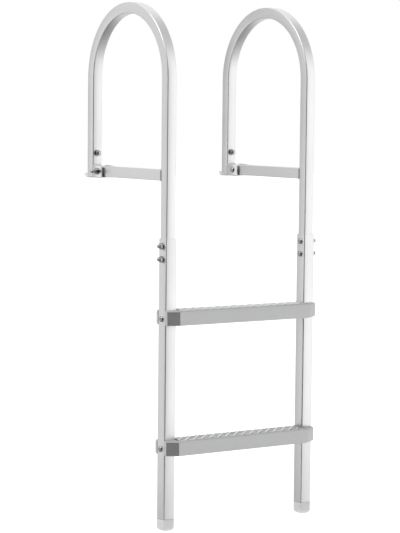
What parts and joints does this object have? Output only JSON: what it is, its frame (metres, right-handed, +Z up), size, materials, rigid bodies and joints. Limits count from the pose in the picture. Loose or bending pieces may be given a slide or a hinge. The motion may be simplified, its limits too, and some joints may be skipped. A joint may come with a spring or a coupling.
{
  "type": "boat boarding ladder",
  "caption": "Boat boarding ladder with arched square-tube handrails on deck brackets and grey treads bolted between lower rails that sleeve over the handrails.",
  "frame": {"origin": "on the deck surface, midway between the two handrails, level with the centre line of the front rails; the deck brackets rest on z = 0", "axes": "+X across the ladder to the climber's right, +Y from the climber's side towards the deck, +Z up"},
  "size_m": [0.4674, 0.3887, 1.216],
  "materials": {
    "anodised_aluminium": "satin clear-anodised extruded tube",
    "tread_coating": "matt grey coating with raised grip ribs on the top face",
    "stainless_steel": "bright stainless steel",
    "dark_plastic": "matt dark grey moulding",
    "pale_plastic": "matt pale grey moulding"
  },
  "bodies": {
    "root": {"left_handrail": "anodised_aluminium", "left_crossbar": "anodised_aluminium", "left_lower_rail": "anodised_aluminium", "left_foot_cap": "pale_plastic", "left_leg_plug": "pale_plastic", "left_bracket": "stainless_steel", "left_inner_bracket_spacer": "pale_plastic", "left_outer_bracket_spacer": "pale_plastic", "left_top_sleeve_bolt": "stainless_steel", "left_top_sleeve_nut": "stainless_steel", "left_top_sleeve_washer": "stainless_steel", "left_second_sleeve_bolt": "stainless_steel", "left_second_sleeve_nut": "stainless_steel", "left_second_sleeve_washer": "stainless_steel", "left_upper_tread_bolt": "stainless_steel", "left_upper_tread_nut": "stainless_steel", "left_upper_tread_washer": "stainless_steel", "left_lower_tread_bolt": "stainless_steel", "left_lower_tread_nut": "stainless_steel", "left_lower_tread_washer": "stainless_steel", "left_leg_bolt": "stainless_steel", "left_leg_nut": "stainless_steel", "left_leg_washer": "stainless_steel", "left_bracket_bolt": "stainless_steel", "left_bracket_nut": "stainless_steel", "left_bracket_washer": "stainless_steel", "right_handrail": "anodised_aluminium", "right_crossbar": "anodised_aluminium", "right_lower_rail": "anodised_aluminium", "right_foot_cap": "pale_plastic", "right_leg_plug": "pale_plastic", "right_bracket": "stainless_steel", "right_inner_bracket_spacer": "pale_plastic", "right_outer_bracket_spacer": "pale_plastic", "right_top_sleeve_bolt": "stainless_steel", "right_top_sleeve_nut": "stainless_steel", "right_top_sleeve_washer": "stainless_steel", "right_second_sleeve_bolt": "stainless_steel", "right_second_sleeve_nut": "stainless_steel", "right_second_sleeve_washer": "stainless_steel", "right_upper_tread_bolt": "stainless_steel", "right_upper_tread_nut": "stainless_steel", "right_upper_tread_washer": "stainless_steel", "right_lower_tread_bolt": "stainless_steel", "right_lower_tread_nut": "stainless_steel", "right_lower_tread_washer": "stainless_steel", "right_leg_bolt": "stainless_steel", "right_leg_nut": "stainless_steel", "right_leg_washer": "stainless_steel", "right_bracket_bolt": "stainless_steel", "right_bracket_nut": "stainless_steel", "right_bracket_washer": "stainless_steel", "upper_tread": "tread_coating", "upper_tread_corner_cap": "dark_plastic", "lower_tread": "tread_coating", "lower_tread_corner_cap": "dark_plastic"}
  },
  "joints": []
}
